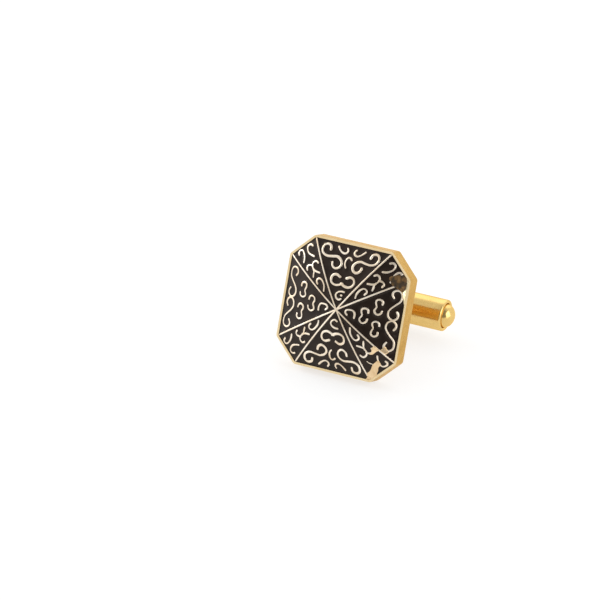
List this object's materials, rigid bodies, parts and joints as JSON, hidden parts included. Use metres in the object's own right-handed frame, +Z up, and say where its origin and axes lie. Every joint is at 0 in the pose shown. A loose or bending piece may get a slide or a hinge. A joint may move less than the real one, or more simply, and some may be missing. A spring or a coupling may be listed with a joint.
{
  "type": "cufflink",
  "caption": "Octagonal gold-plated cufflink with a domed black enamel scroll face and a swivelling bar held between the arms of a bent strip.",
  "frame": {"origin": "centre of the bounding box's underside, on the table that the cufflink leans on", "axes": "+X runs along the bar, to the right as seen from the front; -Y is the front, where the enamelled face looks; +Z is up"},
  "size_m": [0.0202, 0.0186, 0.0166],
  "materials": {
    "cast_gold": "gold plated, cast surface",
    "polished_gold": "gold plated, polished",
    "plated_solder": "gold plated, lumpy",
    "black_enamel": "glossy resin enamel",
    "spring_steel": "spring temper"
  },
  "bodies": {
    "head": {"head_casting": "cast_gold", "enamel_top": "black_enamel", "enamel_top_right": "black_enamel", "enamel_right": "black_enamel", "enamel_bottom_right": "black_enamel", "enamel_bottom": "black_enamel", "enamel_bottom_left": "black_enamel", "enamel_left": "black_enamel", "enamel_top_left": "black_enamel", "solder_pool": "plated_solder", "yoke": "polished_gold", "pivot_pin": "polished_gold"},
    "bar": {"toggle_tube": "polished_gold", "end_ball_left": "polished_gold", "end_ball_right": "polished_gold", "friction_spring": "spring_steel"}
  },
  "joints": [
    {"name": "toggle_swivel", "type": "hinge", "parent": "head", "child": "bar", "pos_m": [0, 0.00637, 0.0035], "axis": [0, 0.3896, 0.921], "continuous": true}
  ]
}
